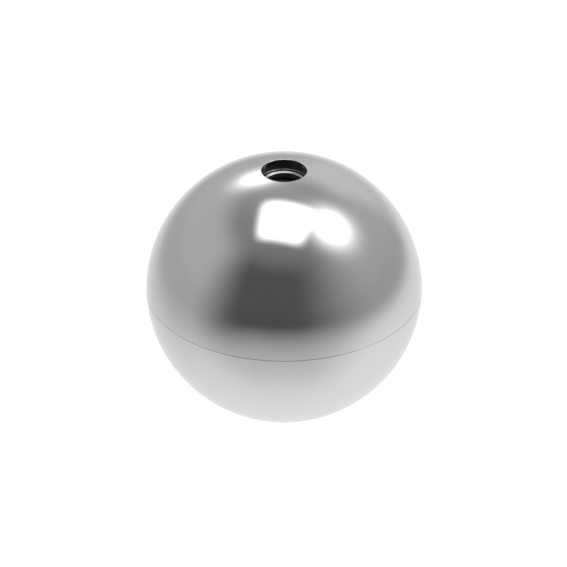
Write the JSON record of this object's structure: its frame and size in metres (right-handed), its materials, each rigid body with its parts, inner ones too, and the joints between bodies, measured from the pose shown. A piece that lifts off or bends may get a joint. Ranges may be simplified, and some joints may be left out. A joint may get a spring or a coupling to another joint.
{
  "type": "threaded end cap ball",
  "caption": "Hollow polished steel ball with a tapped bush behind the hole at its pole, which screws onto a stud to cap the end of a rod or post.",
  "frame": {"origin": "centre of the ball, on the plane where the half shells meet", "axes": "+Z along the thread, out of the hole in the upper half shell; the part is round about Z, so +X and +Y are free"},
  "size_m": [0.05, 0.05, 0.0487],
  "materials": {
    "polished_steel": "stainless steel, polished after joining",
    "turned_steel": "stainless steel, turned and tapped, not polished"
  },
  "bodies": {
    "root": {"upper_half_shell": "polished_steel", "lower_half_shell": "polished_steel", "threaded_bush": "turned_steel"}
  },
  "joints": []
}
